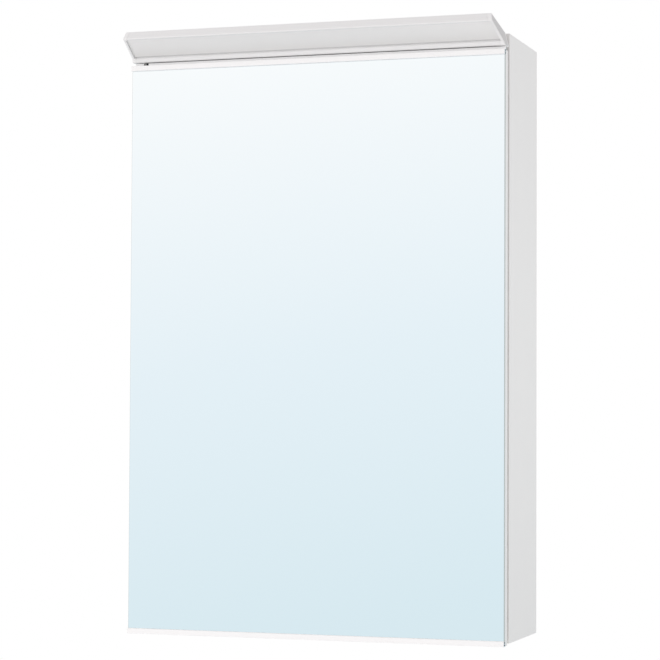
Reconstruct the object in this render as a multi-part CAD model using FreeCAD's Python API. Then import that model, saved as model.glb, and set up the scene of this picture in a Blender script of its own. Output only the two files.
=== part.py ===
import FreeCAD, Part
import math
import os

# Lighted mirror cabinet: one mirror door, a slanted LED light along the top, hung on a wall.
# Millimetres. Origin midway between the two upper wall-screw holes, on the wall plane.
# +X to the right of someone facing the mirror, +Y into the wall, +Z up.

# Carcass boards
WIDTH = 400.0
HEIGHT = 605.0
DEPTH = 120.0
BOARD = 12.0
BACK_BOARD = 3.0
GROOVE = 5.0
EDGE_ROUND = 0.6
BLIND_SKIN = 4.2

# Rails behind the back board, and the wall screws through them
RAIL_HEIGHT = 66.0
RAIL_DEPTH = 10.0
WALL_SCREW_SPACING = 280.0
WALL_SCREW_HOLE_R = 3.0

# Cam locks and dowels between the boards
CAM_R = 6.0
CAM_SKIN = 2.6
CAM_INSET = 24.0
CAM_FROM_FRONT = 26.0
CAM_FROM_BACK = 18.0
CAM_SLOT_LENGTH = 8.0
CAM_SLOT_WIDTH = 1.2
CAM_SLOT_DEPTH = 1.4
BOLT_R = 2.0
BOLT_THREAD_R = 2.5
BOLT_HEAD_R = 2.6
BOLT_HEAD = 2.5
DOWEL_R = 3.0
DOWEL_LENGTH_IN = 16.0
RAIL_DOWEL_R = 2.5
RAIL_DOWEL_SPACING = 37.0

# Glass shelves and what carries them
SHELF_T = 5.0
SHELF_SETBACK = 8.0
SHELF_SIDE_GAP = 1.0
SHELF_BACK_GAP = 2.0
SHELF_EDGE_ROUND = 0.8
SUPPORT_R = 2.5
SUPPORT_PITCH = 32.0
SUPPORT_INSET = 25.0
SUPPORT_REACH = 9.0
SUPPORT_WIDTH = 8.0
PAD_R = 2.8
PAD_T = 1.0

# Door, counted from the carcass front towards the room
DOOR_GAP = 4.0
DOOR_BOARD = 10.0
TAPE = 0.6
GLASS = 3.0
GLASS_BEVEL = 0.4
GLASS_COVER = 0.5
SIDE_REVEAL = 0.7
BOTTOM_DROP = 1.5
TOP_GAP = 3.5
STRIP_HEIGHT = 5.4
STRIP_PROUD = 2.4
STRIP_WALL = 0.8
STRIP_OVER = 0.4
STRIP_ROUND = 0.5
FIN_T = 1.0
FIN_GAP = 0.7
FIN_NOTCH = 5.0
FIN_SHORT = 3.4
TAPE_WIDTH = 20.0
TAPE_COUNT = 4
TAPE_FROM_EDGE = 10.0
BUMPER_R = 4.0
BUMPER_FROM_END = 40.0

# Cup hinges on the left
HINGE_FROM_END = 95.0
PIN_R = 1.0
KNUCKLE_R = 1.9
ARM_T = 2.0
ARM_WIDTH = 10.0
PLATE_MIN_T = 3.0
PLATE_SETBACK = 32.0
PLATE_LENGTH = 30.0
PLATE_HEIGHT = 40.0
PLATE_ROUND = 4.0
PLATE_SCREW_SPACING = 28.0
ARM_SLOT = 4.0
ARM_SHORT = 3.0
CUP_R = 17.5
CUP_WALL = 0.9
CUP_FLOOR = 0.7
CUP_SKIN = 1.2
CHEEK = 3.2
CHEEK_WIDTH = 5.4
WING_T = 1.2
WING_WIDTH = 14.0
WING_OFFSET = 5.0
WING_SCREW_OUT = 6.5
WING_END = 5.5

# Light: underside, upright sill, slanted window, nose, roof and back
LIGHT_STANDOFF = 3.4
STANDOFF_R = 5.0
LIGHT_SKIRT = 14.5
LIGHT_LIP = 18.0
SILL_HEIGHT = 3.4
SILL_LEAN = 1.5
SILL_T = 1.4
LIGHT_REACH = 53.5
NOSE_BACK = 4.5
NOSE_LOW_RISE = 4.5
NOSE_TOP_RISE = 12.6
LIGHT_ROUND = 1.2
END_LEAN = 13.3
UNDERSIDE_T = 1.8
LIP_T = 1.5
NOSE_T = 1.2
ROOF_T = 1.6
LIGHT_BACK = 3.0
LOWER_LIP = 0.6
LOWER_HIDE = 0.3
DIFFUSER = 2.0
DIFFUSER_HIDE = 1.3
END_CAP = 4.5
CAP_T = 1.6
SIDE_BAR = 3.0
SPIGOT = 3.0
SPIGOT_T = 1.4
LIGHT_SCREW_INSET = 30.0
LIGHT_SCREW_SPACING = 62.0

# LED board under the roof
LED_BOARD_WIDTH = 12.0
LED_BOARD_T = 1.2
LED_BOARD_SETBACK = 22.0
LED_BOARD_END_GAP = 4.0
LED_COUNT = 24
LED_LENGTH = 3.5
LED_WIDTH = 2.8
LED_T = 0.8
LED_FROM_END = 6.0

# Push switch at the light's left end
SWITCH_LENGTH = 9.0
SWITCH_DEPTH = 8.0
SWITCH_HEIGHT = 7.5
SWITCH_END_GAP = 0.8
SWITCH_FROM_LIP = 6.95
PLUNGER_R = 0.9
PLUNGER_FLANGE_R = 2.0
PLUNGER_FLANGE = 1.15
PLUNGER_DOOR_GAP = 0.6
TRAVEL = 1.5
OVERTRAVEL = 0.6

# Power box on the top board, and what it holds
BOX_LENGTH = 150.0
BOX_DEPTH = 56.0
BOX_HEIGHT = 19.0
BOX_WALL = 2.0
BOX_FROM_WALL = 20.0
BOX_ROUND = 0.6
BOX_SCREW_LEFT = 26.0
BOX_SCREW_RIGHT = 46.0
BOSS_R = 3.4
BOSS_SINK = 0.5
CABLE_R = 4.0
GROMMET_WALL = 1.6
GROMMET_LIP = 1.0
GROMMET_FLANGE = 1.5
GROMMET_INSET = 38.0
DRIVER_LENGTH = 60.0
DRIVER_DEPTH = 19.0
DRIVER_HEIGHT = 12.0
DRIVER_INSET = 34.0
DRIVER_ROUND = 1.0
DRIVER_FROM_WALL = 2.0
POLE = 8.0
POLES = 3
TERMINAL_DEPTH = 14.0
TERMINAL_HEIGHT = 9.0
TERMINAL_GAP = 10.0
TERMINAL_SINK = 0.6
TERMINAL_SCREW_IN = 3.2
PORT_R = 1.6
PORT_DEPTH = 3.5
PORT_RISE = 3.0
POLE_SLOT = 1.0
POLE_SLOT_DEPTH = 2.0

# Leads
LEAD_R = 1.6
LEAD_INSET = 12.0
LEAD_FROM_WALL = 8.0
LEAD_RISE = 6.0
LEAD_BEND_OUT = 7.0
THIN_LEAD_R = 1.1
THIN_LEAD_SPACING = 6.0
THIN_LEAD_IN = 1.4
SOLDER_IN = 2.0
SOLDER_GAP = 0.5
TAP_IN = 3.0
TAP_RISE = 1.6

# Screws: head radius, head height, shank radius, hex pocket radius
WOOD_SCREW = (3.4, 1.6, 1.7, 1.5)
ARM_SCREW = (3.5, 2.2, 2.0, 1.6)
CUP_SCREW = (3.2, 1.2, 1.6, 1.4)
LIGHT_SCREW = (3.2, 1.8, 1.6, 1.4)
COVER_SCREW = (2.8, 1.6, 1.5, 1.2)
TERMINAL_SCREW = (1.8, 1.0, 1.2, 0.8)
LIGHT_SCREW_LENGTH = 20.0
COVER_SCREW_LENGTH = 10.0
TERMINAL_SCREW_LENGTH = 4.0

# Clearances
SLIP = 0.1
FIT = 0.05
PIN_SEAT = 0.01
EDGE_GAP = 0.2
GUIDE_CLEAR = 0.3
CUP_CLEAR = 0.4
SWING_CLEAR = 0.4
OPEN_CLEAR = 1.5
KNUCKLE_CLEAR = 0.6

V = FreeCAD.Vector
X = V(1, 0, 0)
Y = V(0, 1, 0)
Z = V(0, 0, 1)
LEFT = V(-1, 0, 0)
FRONT = V(0, -1, 0)
DOWN = V(0, 0, -1)
PAST = 1.0
NEAR = 1e-6
SEAM_ANGLE = 0.05
os.makedirs("parts", exist_ok=True)


def block(x, y, z):
    """Box from three (low, high) pairs."""
    return Part.makeBox(x[1] - x[0], y[1] - y[0], z[1] - z[0], V(x[0], y[0], z[0]))


def rounded(x, y, z, radius):
    """Box with every edge rounded."""
    shape = block(x, y, z)
    return shape.makeFillet(radius, shape.Edges)


def rod(radius, start, along, length):
    """Cylinder from a start point along a direction."""
    return Part.makeCylinder(radius, length, start, along)


def about(middle, size):
    """Low and high end of a size centred on a place."""
    return (middle - size / 2, middle + size / 2)


def span(a, b):
    """Low and high of two values."""
    return (min(a, b), max(a, b))


def prism_x(points, x0, x1):
    """Closed outline of (y, z) points pushed along X."""
    ring = [V(x0, y, z) for y, z in points]
    return Part.Face(Part.makePolygon(ring + ring[:1])).extrude(V(x1 - x0, 0, 0))


def cut_all(shape, tools):
    """Takes a list of tools out of a shape."""
    return shape.cut(Part.makeCompound(tools))


def fuse_all(pieces):
    """One solid from a list of pieces that meet."""
    shape = pieces[0]
    for piece in pieces[1:]:
        shape = shape.fuse(piece)
    return shape.removeSplitter()


def edges_along(shape, axis):
    """Straight edges that run along an axis."""
    return [e for e in shape.Edges if abs(e.tangentAt(e.FirstParameter).dot(axis)) > 1 - NEAR]


def sharp_edges(shape):
    """Edges whose two faces meet at an angle, not smoothly."""
    kept = []
    for edge in shape.Edges:
        middle = edge.valueAt((edge.FirstParameter + edge.LastParameter) / 2)
        one, other = [face.normalAt(*face.Surface.parameter(middle))
                      for face in shape.ancestorsOfType(edge, Part.Face)]
        if one.getAngle(other) > SEAM_ANGLE:
            kept.append(edge)
    return kept


def inset(points, depths):
    """Outline in (y, z) whose edge i moves inwards by depths[i]; the outline runs clockwise."""
    lines = []
    for (p, q), depth in zip(zip(points, points[1:] + points[:1]), depths):
        dy, dz = q[0] - p[0], q[1] - p[1]
        size = math.hypot(dy, dz)
        lines.append((p[0] + dz / size * depth, p[1] - dy / size * depth, dy, dz))
    ring = []
    for before, after in zip(lines[-1:] + lines[:-1], lines):
        ay, az, ady, adz = before
        by, bz, bdy, bdz = after
        t = ((by - ay) * bdz - (bz - az) * bdy) / (ady * bdz - adz * bdy)
        ring.append((ay + ady * t, az + adz * t))
    return ring


def screw(start, along, sizes, length, sunk):
    """Screw whose head's outer face is at start, with a hex pocket in the head."""
    head_r, head_h, shank_r, hex_r = sizes
    if sunk:
        head = Part.makeCone(head_r, shank_r, head_h, start, along)
    else:
        head = rod(head_r, start, along, head_h)
    body = head.fuse(rod(shank_r, start, along, length))
    turns = [math.radians(60 * k) for k in range(6)]
    ring = [V(hex_r * math.cos(turn), hex_r * math.sin(turn), 0) for turn in turns]
    pocket = Part.Face(Part.makePolygon(ring + ring[:1])).extrude(V(0, 0, head_h / 2))
    pocket.Placement = FreeCAD.Placement(start, FreeCAD.Rotation(Z, along))
    return body.cut(pocket)


def screw_hole(start, along, sizes, length, sunk):
    """The hole that a screw of the same sizes leaves, wider by the fit."""
    head_r, head_h, shank_r, _ = sizes
    if sunk:
        head = Part.makeCone(head_r + FIT, shank_r + FIT, head_h, start, along)
    else:
        head = rod(head_r + GUIDE_CLEAR, start, along, head_h)
    return head.fuse(rod(shank_r + FIT, start, along, length + FIT))


def lead(points, radius):
    """Round lead through a list of points, with ball corners."""
    pieces = []
    for p, q in zip(points, points[1:]):
        pieces.append(rod(radius, p, q.sub(p), q.sub(p).Length))
    pieces += [Part.makeSphere(radius, p) for p in points[1:-1]]
    return fuse_all(pieces)


def save(node, shape):
    """Writes one piece, or a list of separate solids, as a node."""
    if isinstance(shape, list):
        shape = Part.makeCompound(shape)
    shape.exportStep("parts/%s.step" % node)


# Carcass planes
x_out = WIDTH / 2
x_in = x_out - BOARD
z_top = BOARD + RAIL_HEIGHT / 2
z_bottom = z_top - HEIGHT
z_ceiling = z_top - BOARD
z_floor = z_bottom + BOARD
y_front = -DEPTH
y_back_rear = -RAIL_DEPTH
y_back_face = y_back_rear - BACK_BOARD
blind = BOARD - BLIND_SKIN

# Door planes
y_door_back = y_front - DOOR_GAP
y_door_face = y_door_back - DOOR_BOARD
y_glass_back = y_door_face - TAPE
y_glass_face = y_glass_back - GLASS
door_x = x_out - SIDE_REVEAL
z_light = z_top - LIGHT_SKIRT
z_door_top = z_light - TOP_GAP
z_door_low = z_bottom - BOTTOM_DROP

# The light's ends lean inwards above its underside; the switch stands next to the left one
lean = math.tan(math.radians(END_LEAN))


def end_x(z):
    """X of the light's right end at a height: full width at the underside, leaning inwards above it."""
    return x_out - (z - z_light) * lean


switch_z = (z_light + UNDERSIDE_T, z_light + UNDERSIDE_T + SWITCH_HEIGHT)
switch_x = -end_x(switch_z[1]) + END_CAP + SPIGOT + SWITCH_END_GAP + SWITCH_LENGTH / 2

# Hinge axis: as far from the door's edge as the swing of the door's back corner allows.
# The arm's leg clears the open door's back and leaves room for the mounting plate.
cavity = DOOR_BOARD - CUP_SKIN - CUP_FLOOR
pin_in_door = cavity - CUP_CLEAR - KNUCKLE_R
pin_inset = math.sqrt((pin_in_door + DOOR_GAP - SWING_CLEAR) ** 2 - pin_in_door ** 2)
pin_x = -door_x + pin_inset
pin_y = y_door_back - pin_in_door
leg_x = max(pin_x + pin_in_door + OPEN_CLEAR, -x_in + PLATE_MIN_T)
plate_t = leg_x + x_in
plate_y = y_front + PLATE_SETBACK
hinges = (("upper", z_door_top - HINGE_FROM_END), ("lower", z_door_low + HINGE_FROM_END))
plate_screw_length = plate_t + blind
plate_screw_starts = [V(leg_x, plate_y, z + dz) for _, z in hinges
                      for dz in (-PLATE_SCREW_SPACING / 2, PLATE_SCREW_SPACING / 2)]
plate_screw_holes = [screw_hole(p, LEFT, WOOD_SCREW, plate_screw_length, True) for p in plate_screw_starts]

# Shelf heights: the inside in three equal compartments
compartment = (z_ceiling - z_floor) / 3
shelves = (("upper", z_floor + 2 * compartment), ("lower", z_floor + compartment))
support_y = (y_front + SUPPORT_INSET, y_back_face - SUPPORT_INSET)

# Wooden dowels: one at each board corner, two at each rail end
z_top_mid = z_top - BOARD / 2
z_bottom_mid = z_bottom + BOARD / 2
cam_y = (y_front + CAM_FROM_FRONT, y_back_face - CAM_FROM_BACK)
rail_z = (0.0, z_floor + RAIL_HEIGHT / 2)
dowel_places = [(side, sum(cam_y) / 2, z, DOWEL_R) for side in (-1, 1) for z in (z_top_mid, z_bottom_mid)]
dowel_places += [(side, -RAIL_DEPTH / 2, z + dz, RAIL_DOWEL_R) for side in (-1, 1) for z in rail_z
                 for dz in (-RAIL_DOWEL_SPACING / 2, RAIL_DOWEL_SPACING / 2)]


def dowel(place, extra):
    """Dowel across the joint between a side board and its neighbour, or its hole when extra is a fit."""
    side, y, z, radius = place
    start = V(side * (x_in + blind + extra), y, z)
    return rod(radius + extra, start, V(-side, 0, 0), blind + DOWEL_LENGTH_IN + 2 * extra)


dowel_holes = [dowel(place, FIT) for place in dowel_places]
save("wood_dowels", [dowel(place, 0.0) for place in dowel_places])

# Cam locks in the top and bottom boards, and the bolts they pull on, threaded in the side boards
cam_x = x_in - CAM_INSET
cam_depth = BOARD - CAM_SKIN
cam_bolts = []
cam_locks = []
joint_holes = []
cam_holes = []
for side in (-1, 1):
    inward = V(-side, 0, 0)
    for z_mid, z_open, up in ((z_top_mid, z_top, 1), (z_bottom_mid, z_bottom, -1)):
        for y in cam_y:
            root = V(side * (x_in + blind), y, z_mid)
            thread = rod(BOLT_THREAD_R, root, inward, blind)
            shank = rod(BOLT_R, root, inward, blind + CAM_INSET)
            head = rod(BOLT_HEAD_R, V(side * (cam_x + BOLT_HEAD / 2), y, z_mid), inward, BOLT_HEAD)
            cam_bolts.append(fuse_all([thread, shank, head]))
            joint_holes.append(rod(BOLT_THREAD_R + FIT, root, inward, blind))
            joint_holes.append(rod(BOLT_HEAD_R + CUP_CLEAR, V(side * x_in, y, z_mid), inward, CAM_INSET))
            mouth = V(side * cam_x, y, z_open)
            cam_holes.append(rod(CAM_R + FIT, mouth, V(0, 0, -up), cam_depth + FIT))
            way = rod(BOLT_HEAD_R + GUIDE_CLEAR, V(side * (cam_x + CAM_R + PAST), y, z_mid), inward,
                      CAM_R + PAST + BOLT_HEAD)
            slot = block(about(side * cam_x, CAM_SLOT_LENGTH), about(y, CAM_SLOT_WIDTH),
                         span(z_open, z_open - up * CAM_SLOT_DEPTH))
            cam_locks.append(cut_all(rod(CAM_R, mouth, V(0, 0, -up), cam_depth), [way, slot]))
save("cam_bolts", cam_bolts)
save("cam_locks", cam_locks)

# Side boards with back grooves, rows of shelf holes, joint holes and, on the left, hinge screw holes
groove_y = (y_back_face - SLIP, y_back_rear)
groove_depth = GROOVE + EDGE_GAP
for name, side in (("side_panel_left", -1), ("side_panel_right", 1)):
    panel = rounded(span(side * x_in, side * x_out), (y_front, 0.0), (z_bottom, z_top), EDGE_ROUND)
    holes = [block(span(side * x_in, side * (x_in + groove_depth)), groove_y,
                   (z_floor - groove_depth, z_ceiling + groove_depth))]
    for _, z in shelves:
        for step in (-1, 0, 1):
            for y in support_y:
                start = V(side * x_in, y, z - PAD_T - SUPPORT_R + step * SUPPORT_PITCH)
                holes.append(rod(SUPPORT_R + FIT, start, V(side, 0, 0), blind + FIT))
    panel = cut_all(cut_all(panel, holes), dowel_holes + joint_holes)
    save(name, cut_all(panel, plate_screw_holes))

# Places on the top board for the light's screws, the power box and the lead's channel
box_x = about(0.0, BOX_LENGTH)
box_y = (-BOX_FROM_WALL - BOX_DEPTH, -BOX_FROM_WALL)
box_z = (z_top, z_top + BOX_HEIGHT)
box_screw_length = BOX_WALL + blind
box_screw_starts = [V(x, sum(box_y) / 2, z_top + BOX_WALL)
                    for x in (box_x[0] + BOX_SCREW_LEFT, box_x[1] - BOX_SCREW_RIGHT)]
box_screw_holes = [screw_hole(p, DOWN, WOOD_SCREW, box_screw_length, True) for p in box_screw_starts]
light_screw_x = (-x_in + LIGHT_SCREW_INSET, -LIGHT_SCREW_SPACING / 2, LIGHT_SCREW_SPACING / 2,
                 x_in - LIGHT_SCREW_INSET)
y_back = y_front - LIGHT_STANDOFF
light_screw_starts = [V(x, y_back - LIGHT_BACK - LIGHT_SCREW[1], z_top_mid) for x in light_screw_x]
light_screw_holes = [screw_hole(p, Y, LIGHT_SCREW, LIGHT_SCREW_LENGTH, False) for p in light_screw_starts]
lead_x = box_x[0] + LEAD_INSET
lead_y = box_y[0] + LEAD_FROM_WALL
lead_z = z_top - 2 * LEAD_R
lead_channel = block(about(lead_x, 2 * (LEAD_R + SLIP)), (y_front, lead_y + LEAD_R + SLIP),
                     (lead_z - LEAD_R, z_top))

# Top and bottom boards between the sides, grooved for the back board
top = rounded((-x_in, x_in), (y_front, 0.0), (z_ceiling, z_top), EDGE_ROUND)
top = top.cut(block((-x_in, x_in), groove_y, (z_ceiling, z_ceiling + groove_depth)))
top = cut_all(cut_all(top, dowel_holes + joint_holes), cam_holes)
save("top_panel", cut_all(top, light_screw_holes + box_screw_holes + [lead_channel]))
bottom = rounded((-x_in, x_in), (y_front, 0.0), (z_bottom, z_floor), EDGE_ROUND)
bottom = bottom.cut(block((-x_in, x_in), groove_y, (z_floor - groove_depth, z_floor)))
save("bottom_panel", cut_all(cut_all(bottom, dowel_holes + joint_holes), cam_holes))

# Back board in its grooves, and the two rails behind it that take the wall screws
wall_holes = [rod(WALL_SCREW_HOLE_R, V(x, y_back_face - PAST, z), Y, 2 * PAST - y_back_face)
              for z in rail_z for x in about(0.0, WALL_SCREW_SPACING)]
back = block((-x_in - GROOVE, x_in + GROOVE), (y_back_face, y_back_rear),
             (z_floor - GROOVE, z_ceiling + GROOVE))
save("back_panel", cut_all(back, wall_holes))
for name, z in zip(("hanging_rail_upper", "hanging_rail_lower"), rail_z):
    rail = block((-x_in, x_in), (y_back_rear, 0.0), about(z, RAIL_HEIGHT))
    save(name, cut_all(rail, wall_holes + dowel_holes))

# Glass shelves, their supports in the side boards, and the soft pads they lie on
supports = []
pads = []
for name, z in shelves:
    save("shelf_%s" % name, rounded((-x_in + SHELF_SIDE_GAP, x_in - SHELF_SIDE_GAP),
                                    (y_front + SHELF_SETBACK, y_back_face - SHELF_BACK_GAP),
                                    (z, z + SHELF_T), SHELF_EDGE_ROUND))
    z_pin = z - PAD_T - SUPPORT_R
    for side in (-1, 1):
        for y in support_y:
            seat = block(span(side * x_in, side * (x_in - SUPPORT_REACH)), about(y, SUPPORT_WIDTH),
                         about(z_pin, 2 * SUPPORT_R))
            pin = rod(SUPPORT_R, V(side * (x_in - PAST), y, z_pin), V(side, 0, 0), blind + PAST)
            supports.append(seat.fuse(pin))
            pad_x = x_in - (SUPPORT_REACH + SHELF_SIDE_GAP) / 2
            pads.append(rod(PAD_R, V(side * pad_x, y, z - PAD_T), Z, PAD_T))
save("shelf_supports", supports)
save("shelf_pads", pads)

# Soft bumpers on the right board's front edge, where the door closes
save("door_bumpers", [rod(BUMPER_R, V(x_in + BOARD / 2, y_front, z), FRONT, DOOR_GAP - GUIDE_CLEAR)
                      for z in (z_door_top - BUMPER_FROM_END, z_door_low + BUMPER_FROM_END)])

# Hinge plates and arms on the left board; each arm ends in a knuckle around the pin
leg = (leg_x, leg_x + ARM_T)
arm_screw_length = ARM_SCREW[1] + ARM_T + plate_t - CUP_CLEAR
arm_screws = []
for name, z in hinges:
    plate = block((-x_in, leg_x), about(plate_y, PLATE_LENGTH), about(z, PLATE_HEIGHT))
    plate = plate.makeFillet(PLATE_ROUND, edges_along(plate, X))
    start = V(leg[1] + ARM_SCREW[1], plate_y, z)
    arm_screws.append(screw(start, LEFT, ARM_SCREW, arm_screw_length, False))
    arm_screw_hole = screw_hole(start, LEFT, ARM_SCREW, arm_screw_length, False)
    save("hinge_plate_%s" % name, cut_all(plate, plate_screw_holes + [arm_screw_hole]))
    width = about(z, ARM_WIDTH)
    web_y = about(pin_y, ARM_T)
    arm = fuse_all([rod(KNUCKLE_R, V(pin_x, pin_y, width[0]), Z, ARM_WIDTH),
                    block((pin_x, leg[1]), web_y, width),
                    block(leg, (web_y[0], plate_y + PLATE_LENGTH / 2 - ARM_SHORT), width)])
    shank = ARM_SCREW[2] + FIT
    slot = [rod(shank, V(leg[0] - PAST, y, z), X, ARM_T + 2 * PAST) for y in about(plate_y, ARM_SLOT)]
    slot.append(block((leg[0] - PAST, leg[1] + PAST), about(plate_y, ARM_SLOT), about(z, 2 * shank)))
    pin_hole = rod(PIN_R + FIT, V(pin_x, pin_y, width[0] - PAST), Z, ARM_WIDTH + 2 * PAST)
    save("hinge_arm_%s" % name, arm.cut(fuse_all(slot)).cut(pin_hole))
save("hinge_plate_screws", [screw(p, LEFT, WOOD_SCREW, plate_screw_length, True) for p in plate_screw_starts])
save("hinge_arm_screws", arm_screws)

# Hinge cups let into the door: a round pot with two cheeks that hold the pin, and two screwed wings
slot_half = ARM_WIDTH / 2 + GUIDE_CLEAR
cup_in_r = CUP_R - CUP_WALL
knuckle_edge = pin_inset - KNUCKLE_R - KNUCKLE_CLEAR
cup_x = -door_x + knuckle_edge + math.sqrt(cup_in_r ** 2 - slot_half ** 2)
wing_x = cup_x + WING_OFFSET
wing_z = CUP_R + WING_SCREW_OUT
cup_screw_length = DOOR_BOARD - CUP_SKIN
pin_length = 2 * (slot_half + CHEEK - CUP_CLEAR)
pins = []
cup_screws = []
door_holes = []
for name, z in hinges:
    rim = V(cup_x, y_door_back, z)
    hollow = rod(cup_in_r, rim, FRONT, cavity)
    cheek_x = (pin_x - KNUCKLE_R, pin_x - KNUCKLE_R + CHEEK_WIDTH)
    cheeks = [block(cheek_x, (y_door_back - cavity, y_door_back - CUP_CLEAR),
                    span(z + side * slot_half, z + side * (slot_half + CHEEK))) for side in (-1, 1)]
    starts = [V(wing_x, y_door_back + WING_T, z + side * wing_z) for side in (-1, 1)]
    wings = [block(about(wing_x, WING_WIDTH), (y_door_back, y_door_back + WING_T),
                   span(z + side * slot_half, z + side * (wing_z + WING_END))) for side in (-1, 1)]
    mouth = rod(cup_in_r, V(cup_x, y_door_back - PAST, z), Y, WING_T + 2 * PAST)
    wings = [wing.cut(mouth) for wing in wings]
    cup = fuse_all([rod(CUP_R, rim, FRONT, cavity + CUP_FLOOR).cut(cut_all(hollow, cheeks))] + wings)
    pin_low = V(pin_x, pin_y, z - pin_length / 2)
    screw_holes = [screw_hole(p, FRONT, CUP_SCREW, cup_screw_length, True) for p in starts]
    save("hinge_cup_%s" % name, cut_all(cup, screw_holes + [rod(PIN_R + PIN_SEAT, pin_low, Z, pin_length)]))
    pins.append(rod(PIN_R, pin_low, Z, pin_length))
    cup_screws += [screw(p, FRONT, CUP_SCREW, cup_screw_length, True) for p in starts]
    door_holes += screw_holes + [rod(CUP_R + FIT, rim, FRONT, cavity + CUP_FLOOR + FIT)]
save("hinge_pins", pins)
save("hinge_cup_screws", cup_screws)

# Door board, mirror and the tapes between them
board = rounded((-door_x, door_x), (y_door_face, y_door_back), (z_door_low, z_door_top), EDGE_ROUND)
save("door_board", cut_all(board, door_holes))
glass_x = door_x + EDGE_GAP
glass_z = (z_door_low + STRIP_HEIGHT - GLASS_COVER, z_door_top - STRIP_HEIGHT + GLASS_COVER)
glass = block((-glass_x, glass_x), (y_glass_face, y_glass_back), glass_z)
arris = [e for e in glass.Edges if abs(e.CenterOfMass.y - y_glass_face) < NEAR]
save("mirror_glass", glass.makeChamfer(GLASS_BEVEL, arris))
tape_z = (glass_z[0] + TAPE_FROM_EDGE, glass_z[1] - TAPE_FROM_EDGE)
tape_x = door_x - TAPE_FROM_EDGE - TAPE_WIDTH / 2
save("mirror_tapes", [block(about(-tape_x + 2 * tape_x * k / (TAPE_COUNT - 1), TAPE_WIDTH),
                            (y_glass_back, y_door_face), tape_z) for k in range(TAPE_COUNT)])

# Hollow edge strips above and below the mirror, each with a rib along its middle and a lip over the glass.
# The upper one has a fin that closes the slit below the light, notched for the switch's plunger.
strip_x = door_x + STRIP_OVER
strip_y = (y_glass_face - STRIP_PROUD, y_door_face)
chamber_height = (STRIP_HEIGHT - 3 * STRIP_WALL) / 2
rebate_y = (y_glass_face - SLIP, y_door_face + PAST)
for name, low, at_glass in (("door_strip_top", z_door_top - STRIP_HEIGHT, z_door_top - STRIP_HEIGHT),
                            ("door_strip_bottom", z_door_low, z_door_low + STRIP_HEIGHT - STRIP_WALL)):
    strip = block((-strip_x, strip_x), strip_y, (low, low + STRIP_HEIGHT))
    nose = [e for e in edges_along(strip, X) if abs(e.CenterOfMass.y - strip_y[0]) < NEAR]
    strip = strip.makeFillet(STRIP_ROUND, nose)
    chambers = [block((-strip_x - PAST, strip_x + PAST), (strip_y[0] + STRIP_WALL, strip_y[1] - STRIP_WALL),
                      (z, z + chamber_height))
                for z in (low + STRIP_WALL, low + 2 * STRIP_WALL + chamber_height)]
    rebate = block((-strip_x - PAST, strip_x + PAST), rebate_y, (at_glass, at_glass + STRIP_WALL))
    strip = cut_all(strip, chambers + [rebate])
    if name == "door_strip_top":
        fin_z = (z_door_top, z_light - FIN_GAP)
        fin = block((FIN_SHORT - strip_x, strip_x), (y_door_face - FIN_T, y_door_face), fin_z)
        notch = block(about(switch_x, FIN_NOTCH), (y_door_face - FIN_T - PAST, y_door_face + PAST), fin_z)
        strip = fuse_all([strip, fin.cut(notch)])
    save(name, strip)

# Light section in (y, z), clockwise from the lower back corner: underside, sill, window, nose, roof, back
y_lip = y_front - LIGHT_LIP
y_sill = y_lip - SILL_LEAN
z_sill = z_light + SILL_HEIGHT
y_nose = y_front - LIGHT_REACH
z_nose = z_top + NOSE_TOP_RISE
section = [(y_back, z_light), (y_lip, z_light), (y_sill, z_sill), (y_nose, z_top + NOSE_LOW_RISE),
           (y_nose + NOSE_BACK, z_nose), (y_back, z_top)]
inner = inset(section, [UNDERSIDE_T, SILL_T, LIP_T, NOSE_T, ROOF_T, LIGHT_BACK])
behind = inset(section, [UNDERSIDE_T, SILL_T, LIP_T + DIFFUSER, NOSE_T, ROOF_T, LIGHT_BACK])
window = math.hypot(section[3][0] - section[2][0], section[3][1] - section[2][1])
up_y = (section[3][0] - section[2][0]) / window
up_z = (section[3][1] - section[2][1]) / window
roof = math.hypot(section[4][0] - section[5][0], section[4][1] - section[5][1])
roof_y = (section[4][0] - section[5][0]) / roof
roof_z = (section[4][1] - section[5][1]) / roof
light_z = (z_light - PAST, z_nose + PAST)


def on_window(s, depth):
    """Point s up the window from the sill, depth behind its outer plane."""
    return (y_sill + up_y * s + up_z * depth, z_sill + up_z * s - up_y * depth)


def up_window(point):
    """How far a (y, z) point lies up the window from the sill."""
    return (point[0] - y_sill) * up_y + (point[1] - z_sill) * up_z


def under_roof(s, depth):
    """Point s along the roof from its back edge, depth below its outer face."""
    return (y_back + roof_y * s - roof_z * depth, z_top + roof_z * s + roof_y * depth)


def between_ends(trim):
    """Room between the light's two leaning ends, trimmed at both."""
    low, high = light_z
    corners = ((-1, low), (1, low), (1, high), (-1, high))
    ring = [V(side * (end_x(z) - trim), y_back, z) for side, z in corners]
    return Part.Face(Part.makePolygon(ring + ring[:1])).extrude(V(0, y_nose - y_back - PAST, 0))


solid = prism_x(section, -x_out - PAST, x_out + PAST).common(between_ends(0.0))
at_sill = V(0.0, y_sill, z_sill)
solid = solid.makeFillet(LIGHT_ROUND, [e for e in sharp_edges(solid) if e.CenterOfMass.y < y_back - PAST
                                       and (e.CenterOfMass - at_sill).Length > NEAR])
diffuser_top = min(up_window(inner[3]), up_window(behind[3])) - EDGE_GAP
diffuser_low = LOWER_LIP - LOWER_HIDE
ray = (-x_out - PAST, x_out + PAST)

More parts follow.
